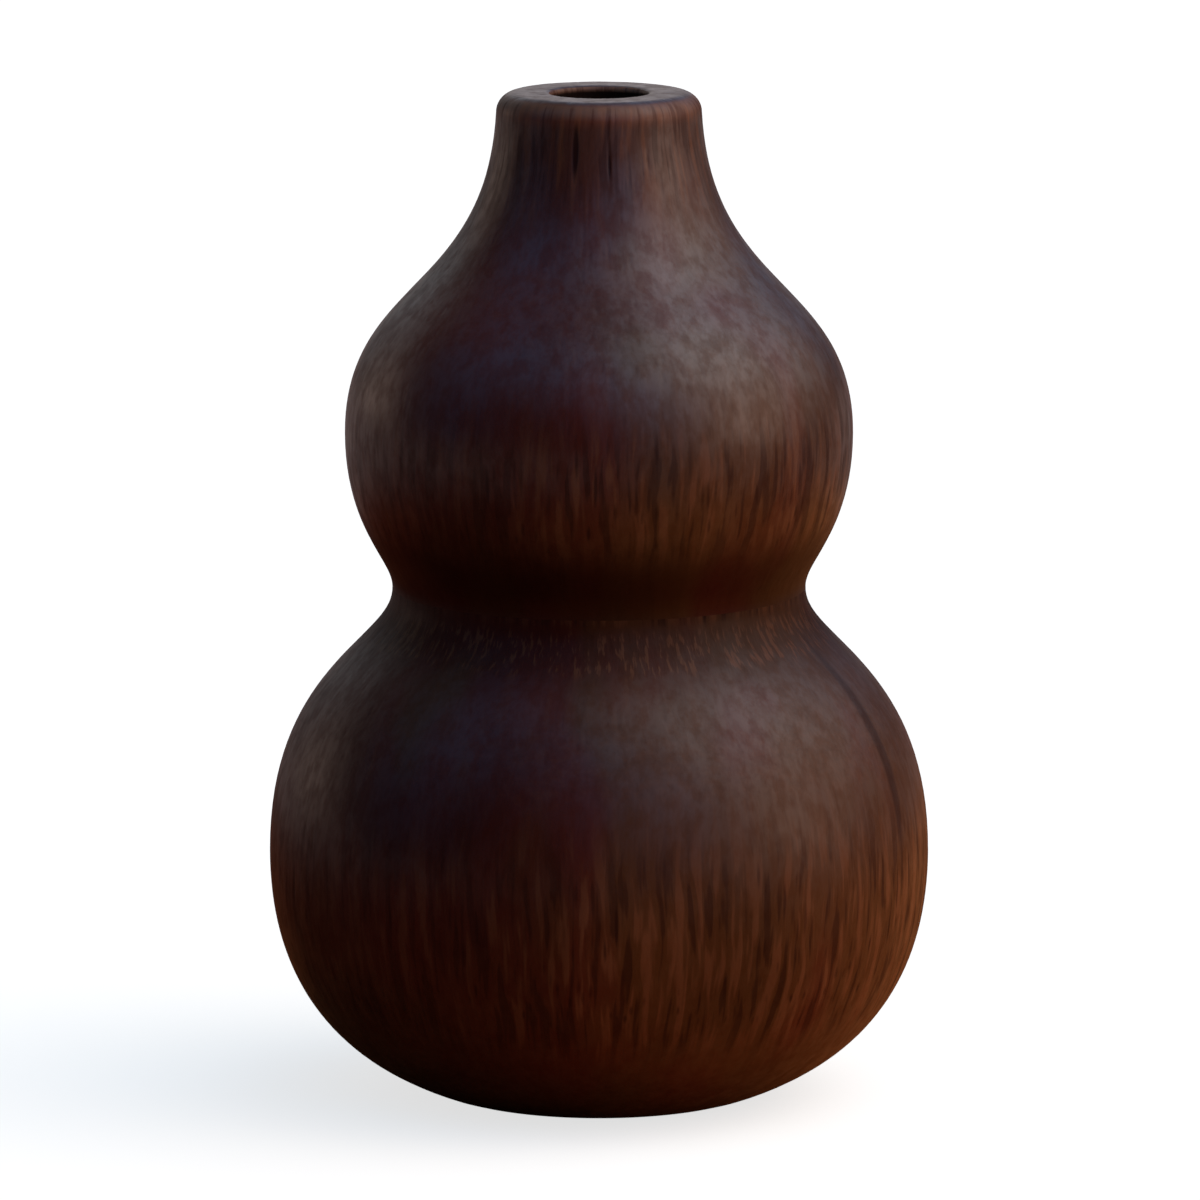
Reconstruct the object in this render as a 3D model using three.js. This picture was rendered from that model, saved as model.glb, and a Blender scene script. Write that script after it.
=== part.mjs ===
// A turned wooden vase of two bulbs: two hollow halves glued at the waist, with a glass tube for the water.
// Millimetres, Z up. The origin is the centre of the felt's underside, where the vase rests.
import * as THREE from "three";

// Outer form of the wood. Radii are from the axis, heights from the table unless a comment says otherwise.
const footRadius = 39.6;
const bellyRadius = 81.8;
const bellyHeight = 60.7;
const waistRadius = 51.1;
const waistHeight = 127;
const bulbRadius = 62.8;
const bulbRise = 38.5; // from the waist up to the widest ring of the upper bulb
const lipRise = 123; // from the waist up to the crest of the lip
const lipWidth = 13.4; // from the mouth's bore out to the neck's side
const lipRounding = 5; // outer corner of the lip
const mouthRounding = 1.2; // inner corner of the lip
const neckSlope = 0.054; // how fast the neck widens just below the lip

// Fullness of the outline's curves: the length of each handle as a share of the rise or run that it spans.
const footRunOut = 0.68;
const footRiseUp = 0.158;
const bellyFullBelow = 0.495;
const bellyFullAbove = 0.702;
const waistPullBelow = 0.221;
const waistPullAbove = 0.187;
const bulbFullBelow = 0.622;
const bulbFullAbove = 0.472;
const neckStraightness = 0.57;

// Hollows and the glued joint.
const wall = 9;
const floorThickness = 12;
const jointFaceWidth = 13; // the ring at the waist on which the halves meet
const spigotLength = 12;
const spigotWall = 8;
const spigotRelief = 2; // room below the spigot
const shoulderThickness = 9; // wood above the joint face
const glueGap = 0.3;
const neckBoreLength = 33; // from the tube's seat down to the hollow

// Water tube, 20 mm by 150 mm, and the soft ring that its rim rests on.
const tubeRadius = 10;
const tubeWall = 1.2;
const tubeLength = 150;
const rimWidth = 1.5;
const rimThickness = 2;
const rimRounding = 0.5;
const rimGap = 0.5; // between the rim and the mouth's bore
const tubeGap = 0.5; // between the tube and the neck's bore
const tubeDrop = 7; // from the crest of the lip down to the rim
const ringThickness = 1.5;
const ringRounding = 0.4;
const ringInnerGap = 0.4; // between the ring and the glass
const ringOuterGap = 0.3; // between the ring and the mouth's bore

// Felt under the foot.
const feltThickness = 2;
const feltProud = 0.8; // how far it stands out of its recess
const feltMargin = 4.6; // wood left round the recess
const feltGap = 0.4;

// Fineness of the round surfaces.
const sidesRound = 48;
const stepsOutside = 10;
const stepsInside = 5;
const stepsPerCorner = 2;
const stepsPerSmallCorner = 1;

// Heights and radii that follow from the sizes above.
const lipHeight = waistHeight + lipRise;
const bulbHeight = waistHeight + bulbRise;
const rimTop = lipHeight - tubeDrop;
const rimUnderside = rimTop - rimThickness;
const seatHeight = rimUnderside - ringThickness;
const rimRadius = tubeRadius + rimWidth;
const mouthRadius = rimRadius + rimGap;
const neckBoreRadius = tubeRadius + tubeGap;
const neckRadius = mouthRadius + lipWidth;
const socketRadius = waistRadius - jointFaceWidth;
const spigotRadius = socketRadius - glueGap;
const spigotBoreRadius = spigotRadius - spigotWall;
const recessRadius = footRadius - feltMargin;

const stainedWood = new THREE.MeshStandardMaterial({ color: "#3a221b", roughness: 0.42, metalness: 0 });
const clearGlass = new THREE.MeshStandardMaterial({
  color: "#dfe9e6",
  roughness: 0.05,
  metalness: 0,
  transparent: true,
  opacity: 0.35,
});
const softRing = new THREE.MeshStandardMaterial({ color: "#b9b6ae", roughness: 0.6, metalness: 0 });
const darkFelt = new THREE.MeshStandardMaterial({ color: "#1e1a19", roughness: 0.95, metalness: 0 });

// One turned piece: an outline of radius and height, spun round the Z axis.
function turned(name, outline, material) {
  const geometry = new THREE.LatheGeometry(outline, sidesRound);
  geometry.rotateX(Math.PI / 2);
  const mesh = new THREE.Mesh(geometry, material);
  mesh.name = name;
  return mesh;
}

function point(radius, height) {
  return new THREE.Vector2(radius, height);
}

// Points along the lower half's outside, from the foot up to the waist.
function lowerOutside(steps) {
  const belly = bellyHeight - feltProud;
  const toWaist = waistHeight - bellyHeight;
  const path = new THREE.Path();
  path.moveTo(footRadius, feltProud);
  path.bezierCurveTo(
    footRadius + footRunOut * (bellyRadius - footRadius),
    feltProud + footRiseUp * belly,
    bellyRadius,
    bellyHeight - bellyFullBelow * belly,
    bellyRadius,
    bellyHeight,
  );
  path.bezierCurveTo(
    bellyRadius,
    bellyHeight + bellyFullAbove * toWaist,
    waistRadius,
    waistHeight - waistPullBelow * toWaist,
    waistRadius,
    waistHeight,
  );
  return path.getPoints(steps);
}

// Points from the waist up to the widest ring of the upper bulb.
function bulbUnderside(steps) {
  const path = new THREE.Path();
  path.moveTo(waistRadius, waistHeight);
  path.bezierCurveTo(
    waistRadius,
    waistHeight + waistPullAbove * bulbRise,
    bulbRadius,
    bulbHeight - bulbFullBelow * bulbRise,
    bulbRadius,
    bulbHeight,
  );
  return path.getPoints(steps);
}

// Points from the widest ring of the upper bulb up the neck, over the lip and into the mouth.
function neckAndLip() {
  const neckTop = lipHeight - lipRounding;
  const toNeckTop = neckTop - bulbHeight;
  const neckHandle = neckStraightness * toNeckTop;
  const path = new THREE.Path();
  path.moveTo(bulbRadius, bulbHeight);
  path.bezierCurveTo(
    bulbRadius,
    bulbHeight + bulbFullAbove * toNeckTop,
    neckRadius + neckSlope * neckHandle,
    neckTop - neckHandle,
    neckRadius,
    neckTop,
  );
  const side = path.getPoints(stepsOutside);

  const crest = new THREE.Path();
  crest.absarc(neckRadius - lipRounding, neckTop, lipRounding, 0, Math.PI / 2, false);
  const innerCorner = mouthRadius + mouthRounding;
  crest.absarc(innerCorner, lipHeight - mouthRounding, mouthRounding, Math.PI / 2, Math.PI, false);
  return [...side, ...crest.getPoints(stepsPerCorner).slice(1)];
}

// The same line of points moved into the wood by a depth, square to the line.
function movedInward(points, depth) {
  return points.map((here, i) => {
    const before = points[Math.max(i - 1, 0)];
    const after = points[Math.min(i + 1, points.length - 1)];
    const along = after.clone().sub(before).normalize();
    return point(here.x - depth * along.y, here.y + depth * along.x);
  });
}

// The start of a line of points, up to where it first crosses a height.
function upToHeight(points, height) {
  const kept = [points[0]];
  for (let i = 1; i < points.length; i += 1) {
    const before = points[i - 1].y - height;
    const after = points[i].y - height;
    if (before * after < 0) {
      kept.push(points[i - 1].clone().lerp(points[i], before / (before - after)));
      return kept;
    }
    kept.push(points[i]);
  }
  return kept;
}

// Lower half: the foot with its felt recess, the belly, and the collar that takes the spigot.
function lowerBulb() {
  const floorTop = feltProud + floorThickness;
  const collarBottom = waistHeight - spigotLength - spigotRelief;
  const belowCollar = upToHeight(movedInward(lowerOutside(stepsInside), wall), collarBottom);
  const hollow = upToHeight(belowCollar.reverse(), floorTop);
  return [
    point(0, feltThickness),
    point(recessRadius, feltThickness),
    point(recessRadius, feltProud),
    ...lowerOutside(stepsOutside),
    point(socketRadius, waistHeight),
    point(socketRadius, collarBottom),
    ...hollow,
    point(0, floorTop),
  ];
}

// Upper half: the spigot, the bulb, the neck with the tube's seat, and the lip.
function upperBulb() {
  const hollowTop = seatHeight - neckBoreLength;
  const spigotEnd = waistHeight - spigotLength;
  const shoulderTop = waistHeight + shoulderThickness;
  const hollowRadius = bulbRadius - wall;
  const ceiling = new THREE.Path();
  ceiling.absellipse(
    neckBoreRadius,
    bulbHeight,
    hollowRadius - neckBoreRadius,
    hollowTop - bulbHeight,
    Math.PI / 2,
    0,
    true,
  );
  const sides = upToHeight(movedInward(bulbUnderside(stepsInside), wall).reverse(), shoulderTop);
  return [
    point(spigotRadius, spigotEnd),
    point(spigotRadius, waistHeight),
    ...bulbUnderside(stepsOutside),
    ...neckAndLip().slice(1),
    point(mouthRadius, seatHeight),
    point(neckBoreRadius, seatHeight),
    ...ceiling.getPoints(stepsInside),
    ...sides.slice(1),
    point(spigotBoreRadius, shoulderTop),
    point(spigotBoreRadius, spigotEnd),
    point(spigotRadius, spigotEnd),
  ];
}

// Glass tube: round closed end, straight wall and a flared rim.
function waterTube() {
  const endCentre = rimTop - tubeLength + tubeRadius;
  const boreRadius = tubeRadius - tubeWall;
  const outside = new THREE.Path();
  outside.absarc(0, endCentre, tubeRadius, -Math.PI / 2, 0, false);
  outside.lineTo(tubeRadius, rimUnderside);
  outside.absarc(rimRadius - rimRounding, rimUnderside + rimRounding, rimRounding, -Math.PI / 2, 0, false);
  outside.absarc(rimRadius - rimRounding, rimTop - rimRounding, rimRounding, 0, Math.PI / 2, false);
  const inside = new THREE.Path();
  inside.moveTo(boreRadius, rimTop);
  inside.lineTo(boreRadius, endCentre);
  inside.absarc(0, endCentre, boreRadius, 0, -Math.PI / 2, true);
  return [...outside.getPoints(stepsPerCorner), ...inside.getPoints(stepsPerCorner)];
}

// Soft ring between the tube's rim and the wooden seat, with rounded outer corners.
function tubeRing() {
  const inner = tubeRadius + ringInnerGap;
  const cornerRadius = mouthRadius - ringOuterGap - ringRounding;
  const path = new THREE.Path();
  path.moveTo(inner, seatHeight);
  path.lineTo(cornerRadius, seatHeight);
  path.absarc(cornerRadius, seatHeight + ringRounding, ringRounding, -Math.PI / 2, 0, false);
  path.absarc(cornerRadius, rimUnderside - ringRounding, ringRounding, 0, Math.PI / 2, false);
  path.lineTo(inner, rimUnderside);
  path.lineTo(inner, seatHeight);
  return path.getPoints(stepsPerSmallCorner);
}

function baseFelt() {
  const radius = recessRadius - feltGap;
  return [point(0, 0), point(radius, 0), point(radius, feltThickness), point(0, feltThickness)];
}

const vase = new THREE.Group();
vase.name = "two_bulb_vase";
vase.add(turned("lower_bulb", lowerBulb(), stainedWood));
vase.add(turned("upper_bulb", upperBulb(), stainedWood));
vase.add(turned("water_tube", waterTube(), clearGlass));
vase.add(turned("tube_ring", tubeRing(), softRing));
vase.add(turned("base_felt", baseFelt(), darkFelt));

export default vase;
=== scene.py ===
"""The finished look of a turned wooden vase of two bulbs, built round its packed model."""

import math
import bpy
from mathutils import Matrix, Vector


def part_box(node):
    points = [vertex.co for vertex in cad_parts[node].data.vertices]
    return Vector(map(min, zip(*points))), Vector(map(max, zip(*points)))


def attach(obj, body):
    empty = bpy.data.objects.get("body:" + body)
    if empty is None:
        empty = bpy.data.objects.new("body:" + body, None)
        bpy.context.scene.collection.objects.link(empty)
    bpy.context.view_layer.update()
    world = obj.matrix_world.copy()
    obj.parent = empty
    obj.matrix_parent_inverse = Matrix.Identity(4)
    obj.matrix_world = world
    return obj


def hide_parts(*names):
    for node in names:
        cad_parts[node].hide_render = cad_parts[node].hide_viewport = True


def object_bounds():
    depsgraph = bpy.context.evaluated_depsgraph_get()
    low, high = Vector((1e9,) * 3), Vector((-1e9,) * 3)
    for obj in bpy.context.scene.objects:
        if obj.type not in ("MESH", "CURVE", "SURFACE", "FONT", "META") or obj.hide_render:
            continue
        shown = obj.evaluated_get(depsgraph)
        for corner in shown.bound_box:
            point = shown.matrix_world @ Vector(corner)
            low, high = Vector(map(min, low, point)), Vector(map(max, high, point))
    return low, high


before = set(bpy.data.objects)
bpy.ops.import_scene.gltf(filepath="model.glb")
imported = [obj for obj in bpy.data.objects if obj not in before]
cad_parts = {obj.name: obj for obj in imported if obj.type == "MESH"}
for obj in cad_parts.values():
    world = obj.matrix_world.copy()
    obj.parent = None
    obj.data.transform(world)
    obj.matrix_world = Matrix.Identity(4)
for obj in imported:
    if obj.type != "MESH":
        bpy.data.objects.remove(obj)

from types import SimpleNamespace

import bpy
from bpy.props import FloatProperty, FloatVectorProperty, IntProperty, PointerProperty
from mathutils import Vector

bl_info = {
    "name": "Turned Vase",
    "version": (1, 0, 0),
    "blender": (4, 5, 0),
    "location": "View3D > Sidebar > Vase",
    "description": "Models a two-bulb wooden vase with its glass water tube, and a plain stage",
    "category": "Add Mesh",
}

CAD_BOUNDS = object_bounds()
MM = 0.001
TURN = 2 * math.pi

# Fullness of the outline's curves: each handle as a share of the run or the rise that it spans.
FOOT_RUN_OUT = 0.68
FOOT_RISE_UP = 0.158
BELLY_FULL_BELOW = 0.495
BELLY_FULL_ABOVE = 0.702
WAIST_PULL_BELOW = 0.221
WAIST_PULL_ABOVE = 0.187
BULB_FULL_BELOW = 0.622
BULB_FULL_ABOVE = 0.472
NECK_STRAIGHTNESS = 0.57
NECK_SLOPE = 0.054

# Clearances between the pieces.
TUBE_GAP = 0.5 * MM
GLUE_GAP = 0.3 * MM
SPIGOT_RELIEF = 2 * MM
FELT_GAP = 0.4 * MM

# Zones of the wood: the heights at which each one starts and is full.
FOOT_SHADE = (3 * MM, 22 * MM)
CREASE_FROM_BELOW = (106 * MM, 121 * MM)
CREASE_FROM_ABOVE = (152 * MM, 137 * MM)
UNDER_BULB_SHADE_FROM_BELOW = (126.9 * MM, 127.1 * MM)
UNDER_BULB_SHADE_FROM_ABOVE = (150 * MM, 138 * MM)
COLLAR_HEIGHT = 119 * MM
COLLAR_FROM_MIDDLE = (7 * MM, 3 * MM)
NECK_FROM_BELOW = (214 * MM, 240 * MM)
LIP_EDGE_FROM_BELOW = (243 * MM, 248 * MM)
LIP_TOP_FROM_BELOW = (245 * MM, 249 * MM)
MOUTH_FROM_ABOVE = (249.2 * MM, 248.2 * MM)
MOUTH_EDGE_RADIUS = 14 * MM

# Zones that follow how far the surface leans up, from 1 on top to -1 underneath.
GRAIN_STARTS = (0.28, -0.04, 0.14, 1.0)
GRAIN_ENDS = (-0.66, -0.42, 0.10, 1.0)
OPEN_PORES = (-0.54, -0.32)
NECK_SIDE = (0.95, 0.6)
LIP_SIDE = (0.97, 0.80)
# Zones that go round the wood, from -1 on the left to 1 on the right.
GRAIN_SIDEWAYS = (-0.7, 0.0, 0.55, 1.0)

# The grain's value at which fibres start to be pale or dark, and at which they fully are.
PALE_GRAIN = (0.515, 0.62)
DARK_GRAIN = (0.475, 0.395)
PALE_STRENGTH = 0.68
DARK_STRENGTH = 0.60

# Single marks in the wood: azimuth, lowest and highest point, and width. Azimuth 0 is the camera's side.
NECK_FIBRES = (
    (-12.8, 230 * MM, 247 * MM, 2.2 * MM),
    (5.5, 231 * MM, 239 * MM, 1.0 * MM),
)
# A dark line on the right of the lower bulb: a painted reflection, the gap between the light and the
# backdrop.
DARK_REFLECTION_MARK = (66, 60 * MM, 124 * MM, 6 * MM)
# Patches of painted shade on the left, the side away from the light, each with how much darker it is.
PAINTED_SHADE_PATCHES = (
    ((-36, 58 * MM, 126 * MM, 76 * MM), 0.36),
    ((-30, 124 * MM, 160 * MM, 62 * MM), 0.36),
    ((-46, 0, 46 * MM, 84 * MM), 0.34),
)
PORE_SHARE = 0.4  # of the scattered fibres that are open
NECK_FIBRE_DEPTH = 2.2  # as a multiple of the other fibres' relief
RIB_DEPTH = 0.07 * MM
# The inside of the mouth, painted near black as shade.
MOUTH_SHADE_COLOUR = (0.013, 0.0045, 0.0022)

# What the frame says of each solid: its lowest and its highest corner.
LOWER_LOW, LOWER_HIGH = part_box("lower_bulb")
UPPER_LOW, UPPER_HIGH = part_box("upper_bulb")
TUBE_LOW, TUBE_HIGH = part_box("water_tube")
RING_LOW, RING_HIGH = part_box("tube_ring")
FELT_LOW, FELT_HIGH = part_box("base_felt")


def length(name, description, default):
    """A length in metres, shown in the scene's units."""
    return FloatProperty(
        name=name, description=description, default=default, min=0, precision=5, unit="LENGTH"
    )


def share(name, description, default):
    """A share from 0 to 1."""
    return FloatProperty(
        name=name, description=description, default=default, min=0, max=1, subtype="FACTOR"
    )


def colour(name, description, default):
    """A colour, as linear light."""
    return FloatVectorProperty(
        name=name, description=description, default=default, size=3, min=0, max=1, subtype="COLOR"
    )


def count(name, description, default):
    """A whole number."""
    return IntProperty(name=name, description=description, default=default, min=3)


class VaseForm(bpy.types.PropertyGroup):
    """The turned outline of the two wooden halves."""

    foot_radius: length("Foot Radius", "Edge of the flat foot", 39.6 * MM)
    belly_radius: length("Belly Radius", "Widest ring of the lower bulb", LOWER_HIGH.x)
    belly_height: length("Belly Height", "Height of that ring", 60.7 * MM)
    waist_radius: length("Waist Radius", "The crease between the bulbs", 51.1 * MM)
    bulb_radius: length("Bulb Radius", "Widest ring of the upper bulb", UPPER_HIGH.x)
    bulb_rise: length("Bulb Rise", "Height of that ring above the waist", 38.5 * MM)
    lip_width: length("Lip Width", "From the mouth's bore to the neck's side", 13.4 * MM)
    lip_rounding: length("Lip Rounding", "Outer corner of the lip", 5 * MM)
    mouth_rounding: length("Mouth Rounding", "Inner corner of the lip", 1.2 * MM)
    foot_rounding: length("Foot Rounding", "Softened edge of the foot", 0.8 * MM)
    wall: length("Wall", "Thickness of the hollowed wood", 9 * MM)
    floor: length("Floor", "Thickness of the wood over the foot", 12 * MM)
    joint_face: length("Joint Face", "Width of the glued ring at the waist", 13 * MM)
    spigot_wall: length("Spigot Wall", "Thickness of the spigot", 8 * MM)
    shoulder: length("Shoulder", "Wood above the joint face", 9 * MM)
    neck_bore: length("Neck Bore", "From the tube's seat down to the hollow", 33 * MM)
    felt_margin: length("Felt Margin", "Wood left round the felt's recess", 4.6 * MM)
    lower_sides: count("Lower Sides", "Steps round the lower half", 880)
    upper_sides: count("Upper Sides", "Steps round the upper half", 660)


class WoodFinish(bpy.types.PropertyGroup):
    """The stained, waxed wood with its open grain."""

    stain: colour("Stain", "Main colour of the wood", (0.088, 0.0125, 0.0047))
    olive: colour("Olive Stain", "Where the stain is thinner and browner", (0.084, 0.0255, 0.0060))
    pore: colour("Pores", "Inside the open fibres", (0.020, 0.0020, 0.0009))
    worn: colour("Worn Fibres", "Fibres rubbed pale", (0.175, 0.058, 0.021))
    handled: colour("Handled Wood", "The neck, where hands have greyed the stain", (0.084, 0.037, 0.021))
    bare: colour("Bare Wood", "The unstained hollow", (0.30, 0.16, 0.075))
    roughness: share("Roughness", "Of the wood under the wax", 0.50)
    gloss: share("Gloss", "Specular level of the wood under the wax", 0.06)
    wax_roughness: share("Wax Roughness", "Of the rubbed wax", 0.30)
    lower_wax: share("Lower Wax", "How much wax the lower half carries", 0.61)
    upper_wax: share("Upper Wax", "The same on the upper half, rubbed more", 1.0)
    fibre_width: length("Fibre Width", "Width of an open fibre", 1.3 * MM)
    fibre_length: length("Fibre Length", "Length of an open fibre", 15 * MM)
    relief: length("Relief", "Depth of the open fibres", 0.09 * MM)
    unevenness: length("Unevenness", "How far the turned surface wavers", 0.12 * MM)


class TubeFinish(bpy.types.PropertyGroup):
    """The glass tube and its soft ring."""

    wall: length("Glass Wall", "Thickness of the glass", 1.2 * MM)
    rim_width: length("Rim Width", "How far the rim stands out", 1.5 * MM)
    rim_thickness: length("Rim Thickness", "Height of the rim", 2 * MM)
    glass: colour("Glass", "Tint of the glass", (0.90, 0.965, 0.94))
    ring: colour("Ring", "The soft ring", (0.46, 0.45, 0.42))
    ring_gap: length("Ring Gap", "Between the ring and the glass", 0.4 * MM)
    sides: count("Sides", "Steps round the tube", 128)


class FeltFinish(bpy.types.PropertyGroup):
    """The felt disc under the foot."""

    felt: colour("Felt", "Main colour of the felt", (0.022, 0.019, 0.017))
    lint: colour("Lint", "Paler fibres in the felt", (0.085, 0.075, 0.068))
    nap: length("Nap", "Unevenness of the pressed fibres", 0.12 * MM)
    rounding: length("Rounding", "Softened edge of the felt", 0.5 * MM)


class StageSetup(bpy.types.PropertyGroup):
    """Floor, soft light and camera."""

    camera_distance: length("Camera Distance", "From the middle of the vase", 2.75)
    camera_rise: FloatProperty(
        name="Camera Rise",
        description="Angle that the camera looks down",
        default=math.radians(9.754),
        subtype="ANGLE",
    )
    aim_down: length("Aim Down", "How far the camera aims below the vase's middle", 1.63 * MM)
    aim_right: length("Aim Right", "How far it aims to the right of it", 0.25 * MM)
    lens: FloatProperty(name="Lens", description="Focal length in millimetres", default=333.5)
    window: colour("Window", "Colour of the low sun through the window", (1.0, 0.72, 0.60))
    window_strength: FloatProperty(
        name="Window Strength", description="Brightness at the window's middle", default=1.08
    )
    daylight: colour("Daylight", "Colour of the plain light round the window", (0.87, 0.94, 1.0))
    daylight_strength: FloatProperty(
        name="Daylight Strength", description="Brightness at its middle", default=1.72
    )
    sky: colour("Sky", "Cool light from above", (0.12, 0.48, 1.0))
    sky_strength: FloatProperty(name="Sky Strength", description="Its brightness", default=0.62)
    paper: colour("Paper", "The floor as the camera sees it", (0.80, 0.72, 0.60))
    table_shade: colour("Table in Shade", "The floor left of the vase as a light", (0.19, 0.036, 0.011))
    table_sun: colour("Table in Sun", "The floor right of the vase as a light", (0.94, 0.29, 0.078))
    room: colour("Room", "The floor beyond the table as a light", (0.50, 0.33, 0.25))


SETTINGS = {
    "vase_form": VaseForm,
    "vase_wood": WoodFinish,
    "vase_tube": TubeFinish,
    "vase_felt": FeltFinish,
    "vase_stage": StageSetup,
}


# Outlines: lists of (radius, height) points in the half plane y = 0.


def bezier(start, start_handle, end_handle, end, steps):
    """Points on a cubic curve, its start left out."""
    points = []
    for i in range(1, steps + 1):
        t = i / steps
        s = 1 - t
        weights = (s**3, 3 * s * s * t, 3 * s * t * t, t**3)
        corners = (start, start_handle, end_handle, end)
        points.append(tuple(sum(w * c[k] for w, c in zip(weights, corners)) for k in (0, 1)))
    return points


def arc(centre, radii, start, end, steps):
    """Points on a round or elliptic arc, from one angle to another in degrees."""
    points = []
    for i in range(steps + 1):
        angle = math.radians(start + (end - start) * i / steps)
        points.append((centre[0] + radii[0] * math.cos(angle), centre[1] + radii[1] * math.sin(angle)))
    return points


def moved_inward(points, depth):
    """The same line of points, moved into the wood square to the line."""
    moved = []
    last = len(points) - 1
    for i, (radius, height) in enumerate(points):
        before = Vector(points[max(i - 1, 0)])
        after = Vector(points[min(i + 1, last)])
        along = (after - before).normalized()
        moved.append((radius - depth * along.y, height + depth * along.x))
    return moved


def between(points, low, high):
    """The stretch of a rising line of points between two heights, cut exactly at both."""
    kept = []
    for (r0, z0), (r1, z1) in zip(points, points[1:]):
        for cut in (low, high):
            if z0 < cut < z1:
                kept.append((r0 + (r1 - r0) * (cut - z0) / (z1 - z0), cut))
        if low < z1 < high:
            kept.append((r1, z1))
    return kept


def lower_outside(form, steps):
    """The lower half's outside, from the foot's edge up to the waist."""
    foot = LOWER_LOW.z
    waist = LOWER_HIGH.z
    rise = form.belly_height - foot
    fall = waist - form.belly_height
    soft = form.foot_rounding
    belly = (form.belly_radius, form.belly_height)
    run = form.belly_radius - form.foot_radius
    under = bezier(
        (form.foot_radius, foot),
        (form.foot_radius + FOOT_RUN_OUT * run, foot + FOOT_RISE_UP * rise),
        (form.belly_radius, form.belly_height - BELLY_FULL_BELOW * rise),
        belly,
        steps,
    )
    over = bezier(
        belly,
        (form.belly_radius, form.belly_height + BELLY_FULL_ABOVE * fall),
        (form.waist_radius, waist - WAIST_PULL_BELOW * fall),
        (form.waist_radius, waist),
        steps,
    )
    edge = [(form.foot_radius - soft, foot), (form.foot_radius - 0.3 * soft, foot + 0.06 * soft)]
    return edge + under + over


def upper_outside(form, steps):
    """The upper half's outside, from the waist over the lip and into the mouth."""
    waist = LOWER_HIGH.z
    top = UPPER_HIGH.z
    bulb = (form.bulb_radius, waist + form.bulb_rise)
    mouth = mouth_radius()
    neck = (mouth + form.lip_width, top - form.lip_rounding)
    rise = neck[1] - bulb[1]
    handle = NECK_STRAIGHTNESS * rise
    under = bezier(
        (form.waist_radius, waist),
        (form.waist_radius, waist + WAIST_PULL_ABOVE * form.bulb_rise),
        (form.bulb_radius, bulb[1] - BULB_FULL_BELOW * form.bulb_rise),
        bulb,
        steps // 2,
    )
    over = bezier(
        bulb,
        (form.bulb_radius, bulb[1] + BULB_FULL_ABOVE * rise),
        (neck[0] + NECK_SLOPE * handle, neck[1] - handle),
        neck,
        steps,
    )
    crest = (neck[0] - form.lip_rounding, top)
    corner = arc((crest[0], neck[1]), (form.lip_rounding,) * 2, 0, 90, 12)
    inner = form.mouth_rounding
    edge = arc((mouth + inner, top - inner), (inner, inner), 90, 180, 6)
    flat = [(crest[0] + (edge[0][0] - crest[0]) * i / 4, top) for i in (1, 2, 3)]
    return [(form.waist_radius, waist)] + under + over + corner[1:] + flat + edge


def mouth_radius():
    """The mouth's bore: the tube's rim with its clearance."""
    return TUBE_HIGH.x + TUBE_GAP


def neck_bore_radius():
    """The bore below the seat: the tube's body with its clearance."""
    tube = bpy.context.scene.vase_tube
    return TUBE_HIGH.x - tube.rim_width + TUBE_GAP


def lower_outline(form):
    """The closed outline of the lower half, from the recess's centre to the floor's centre."""
    steps = 34
    outside = lower_outside(form, steps)
    recess = FELT_HIGH.z
    recess_radius = form.foot_radius - form.felt_margin
    collar = form.waist_radius - form.joint_face
    collar_bottom = UPPER_LOW.z - SPIGOT_RELIEF
    floor_top = LOWER_LOW.z + form.floor
    coarse = lower_outside(form, 9)[2:]  # without the foot's two edge points
    hollow = between(moved_inward(coarse, form.wall), floor_top, collar_bottom)
    hollow.reverse()
    return (
        [(0, recess), (recess_radius / 2, recess), (recess_radius, recess), (recess_radius, LOWER_LOW.z)]
        + outside
        + [(collar, LOWER_HIGH.z), (collar, collar_bottom)]
        + hollow
        + [(hollow[-1][0] / 2, floor_top), (0, floor_top)]
    )


def upper_outline(form):
    """The closed ring outline of the upper half, its first point repeated at the end."""
    waist = LOWER_HIGH.z
    spigot = form.waist_radius - form.joint_face - GLUE_GAP
    spigot_bore = spigot - form.spigot_wall
    spigot_end = UPPER_LOW.z
    seat = RING_LOW.z
    bore = neck_bore_radius()
    bulb_height = waist + form.bulb_rise
    hollow_top = seat - form.neck_bore
    ceiling = arc(
        (bore, bulb_height),
        (form.bulb_radius - form.wall - bore, hollow_top - bulb_height),
        90,
        0,
        10,
    )
    shoulder_top = waist + form.shoulder
    under = upper_outside(form, 14)[:8]
    sides = between(moved_inward(under, form.wall), shoulder_top, bulb_height)
    sides.reverse()
    return (
        [(spigot, spigot_end), (spigot, waist)]
        + upper_outside(form, 46)
        + [(mouth_radius(), seat), (bore, seat)]
        + ceiling
        + sides
        + [(spigot_bore, shoulder_top), (spigot_bore, spigot_end), (spigot, spigot_end)]
    )


def tube_outline(tube):
    """The closed outline of the glass, from its bottom outside round the rim to its bottom inside."""
    rim = TUBE_HIGH.x
    body = rim - tube.rim_width
    bore = body - tube.wall
    end = TUBE_LOW.z + body
    half = tube.rim_thickness / 2
    bead = arc((rim - half, TUBE_HIGH.z - half), (half, half), -90, 90, 12)
    lip = 0.4 * MM
    inner_lip = arc((bore + lip, TUBE_HIGH.z - lip), (lip, lip), 90, 180, 5)
    return (
        arc((0, end), (body, body), -90, 0, 20)
        + [(body, TUBE_HIGH.z - tube.rim_thickness)]
        + bead
        + inner_lip
        + arc((0, end), (bore, bore), 0, -90, 20)
    )


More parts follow.
